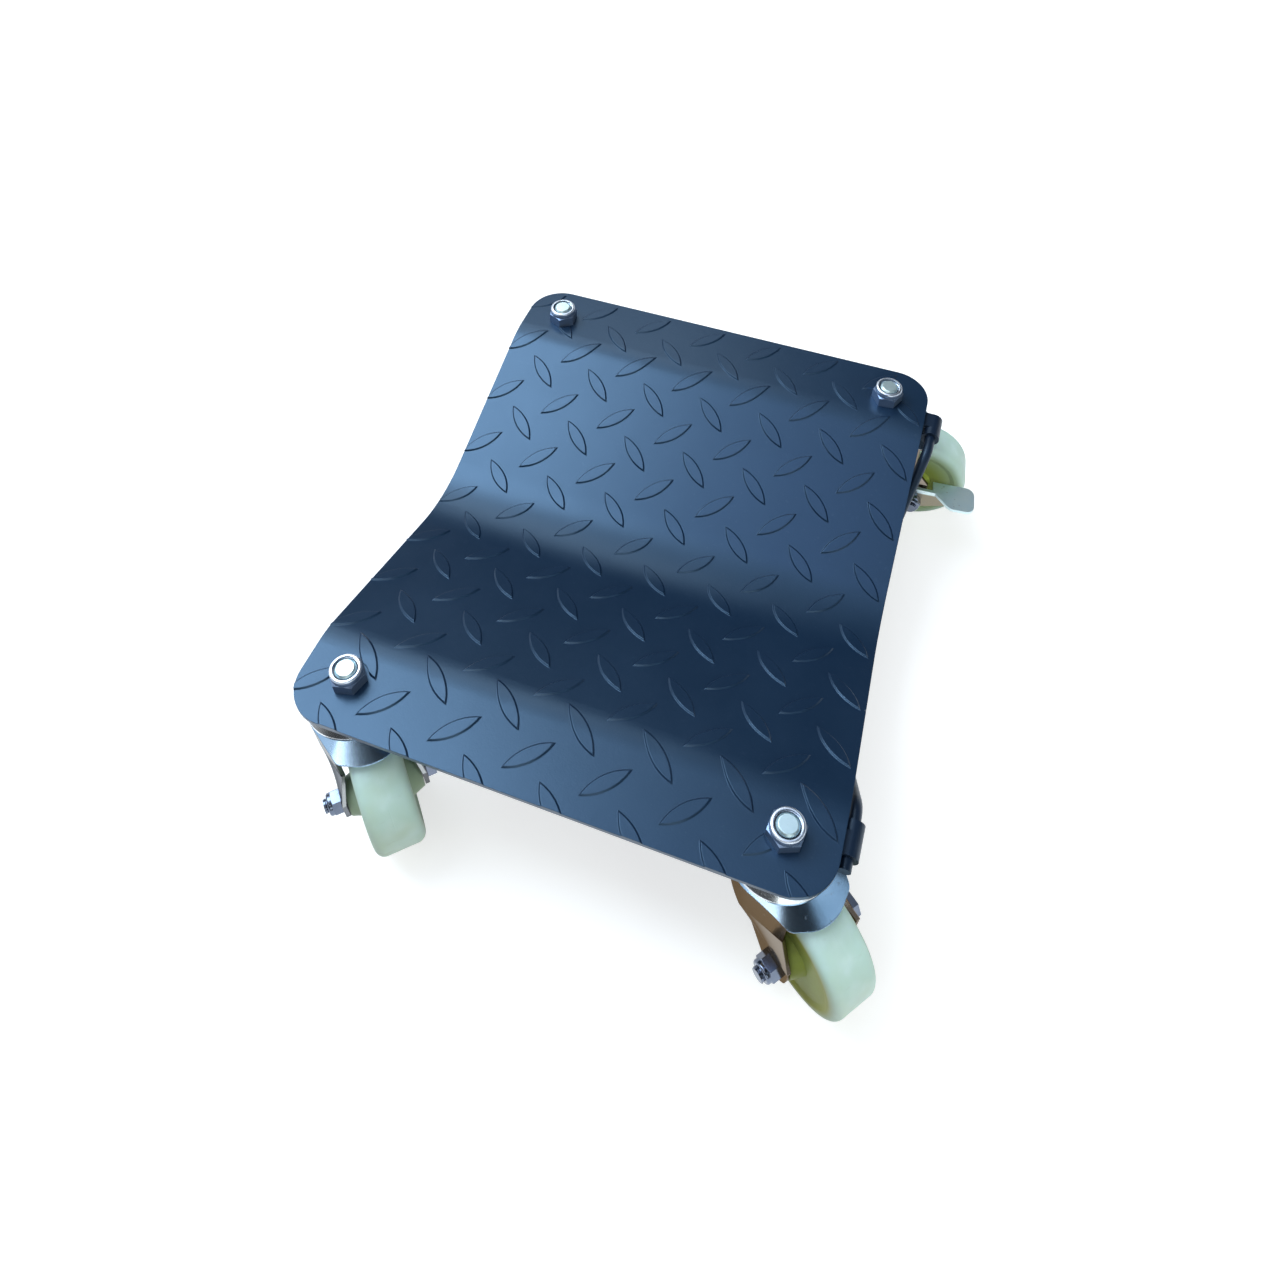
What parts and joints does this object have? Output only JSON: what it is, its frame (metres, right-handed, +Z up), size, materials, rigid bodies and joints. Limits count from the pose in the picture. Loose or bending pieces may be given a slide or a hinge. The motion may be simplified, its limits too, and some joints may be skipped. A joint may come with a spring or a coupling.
{
  "type": "car moving dolly",
  "caption": "Low dolly for moving a parked car: bent checker-plate tyre cradle on swivel casters with side brakes, and a swinging bail handle at one edge",
  "frame": {"origin": "on the floor, under the middle of the deck plate", "axes": "+X across the deck to the handle's side, +Y to the rear of the deck, +Z up"},
  "size_m": [0.3484, 0.3981, 0.1172],
  "materials": {
    "deck_black": "black powder coat on checker plate, satin, worn bright in small specks at the bar edges",
    "handle_black": "black powder coat on steel rod and strap, satin",
    "fork_zinc": "bright zinc plated stamped steel",
    "lever_zinc": "zinc plated stamped steel, satin",
    "zinc_nut": "bright zinc plated fasteners",
    "ball_steel": "bare hardened steel, lightly greased",
    "wheel_nylon": "natural off-white nylon, slightly translucent with a green cast",
    "locking_nylon": "dark nylon locking ring"
  },
  "bodies": {
    "deck": {"deck_plate": "deck_black", "stem_nuts": "zinc_nut", "nut_locking_rings": "locking_nylon", "swivel_balls": "ball_steel", "handle_bracket_front": "handle_black", "handle_bracket_rear": "handle_black", "front_left_stem": "zinc_nut", "front_left_race_cap": "fork_zinc", "front_left_lower_race": "ball_steel", "front_right_stem": "zinc_nut", "front_right_race_cap": "fork_zinc", "front_right_lower_race": "ball_steel", "rear_left_stem": "zinc_nut", "rear_left_race_cap": "fork_zinc", "rear_left_lower_race": "ball_steel", "rear_right_stem": "zinc_nut", "rear_right_race_cap": "fork_zinc", "rear_right_lower_race": "ball_steel"},
    "handle": {"handle_bail": "handle_black"},
    "front_left_caster": {"front_left_fork": "fork_zinc", "front_left_axle_sleeve": "ball_steel", "front_left_axle_bolt": "zinc_nut", "front_left_axle_nut": "zinc_nut"},
    "front_left_roller": {"front_left_wheel": "wheel_nylon"},
    "front_right_caster": {"front_right_fork": "fork_zinc", "front_right_axle_sleeve": "ball_steel", "front_right_axle_bolt": "zinc_nut", "front_right_axle_nut": "zinc_nut"},
    "front_right_roller": {"front_right_wheel": "wheel_nylon"},
    "rear_left_brake": {"rear_left_brake_lever": "lever_zinc"},
    "rear_left_caster": {"rear_left_fork": "fork_zinc", "rear_left_axle_sleeve": "ball_steel", "rear_left_axle_bolt": "zinc_nut", "rear_left_axle_nut": "zinc_nut", "rear_left_cam_washer": "fork_zinc"},
    "rear_left_roller": {"rear_left_wheel": "wheel_nylon"},
    "rear_right_brake": {"rear_right_brake_lever": "lever_zinc"},
    "rear_right_caster": {"rear_right_fork": "fork_zinc", "rear_right_axle_sleeve": "ball_steel", "rear_right_axle_bolt": "zinc_nut", "rear_right_axle_nut": "zinc_nut", "rear_right_cam_washer": "fork_zinc"},
    "rear_right_roller": {"rear_right_wheel": "wheel_nylon"}
  },
  "joints": [
    {"name": "handle_swing", "type": "hinge", "parent": "deck", "child": "handle", "pos_m": [0.15487, 0, 0.09594], "axis": [-0.0113, -0.9999, 0], "range_deg": [0, 150]},
    {"name": "front_left_swivel", "type": "hinge", "parent": "deck", "child": "front_left_caster", "pos_m": [-0.122, -0.15417, 0.0375], "axis": [0, 0, 1], "continuous": true},
    {"name": "front_left_roll", "type": "hinge", "parent": "front_left_caster", "child": "front_left_roller", "pos_m": [-0.10066, -0.17666, 0.0375], "axis": [0.7254, 0.6884, 0], "continuous": true},
    {"name": "front_right_swivel", "type": "hinge", "parent": "deck", "child": "front_right_caster", "pos_m": [0.122, -0.15417, 0.0375], "axis": [0, 0, 1], "continuous": true},
    {"name": "front_right_roll", "type": "hinge", "parent": "front_right_caster", "child": "front_right_roller", "pos_m": [0.14643, -0.17326, 0.0375], "axis": [0.6157, 0.788, 0], "continuous": true},
    {"name": "rear_left_swivel", "type": "hinge", "parent": "deck", "child": "rear_left_caster", "pos_m": [-0.122, 0.15417, 0.0375], "axis": [0, 0, 1], "continuous": true},
    {"name": "rear_left_roll", "type": "hinge", "parent": "rear_left_caster", "child": "rear_left_roller", "pos_m": [-0.09368, 0.14156, 0.0375], "axis": [0.4067, 0.9135, 0], "continuous": true},
    {"name": "rear_left_brake_press", "type": "hinge", "parent": "rear_left_caster", "child": "rear_left_brake", "pos_m": [-0.09368, 0.14156, 0.0375], "axis": [0.4067, 0.9135, 0], "range_deg": [0, 25]},
    {"name": "rear_right_swivel", "type": "hinge", "parent": "deck", "child": "rear_right_caster", "pos_m": [0.122, 0.15417, 0.0375], "axis": [0, 0, 1], "continuous": true},
    {"name": "rear_right_roll", "type": "hinge", "parent": "rear_right_caster", "child": "rear_right_roller", "pos_m": [0.15288, 0.15687, 0.0375], "axis": [-0.0872, 0.9962, 0], "continuous": true},
    {"name": "rear_right_brake_press", "type": "hinge", "parent": "rear_right_caster", "child": "rear_right_brake", "pos_m": [0.15288, 0.15687, 0.0375], "axis": [-0.0872, 0.9962, 0], "range_deg": [0, 25]}
  ]
}
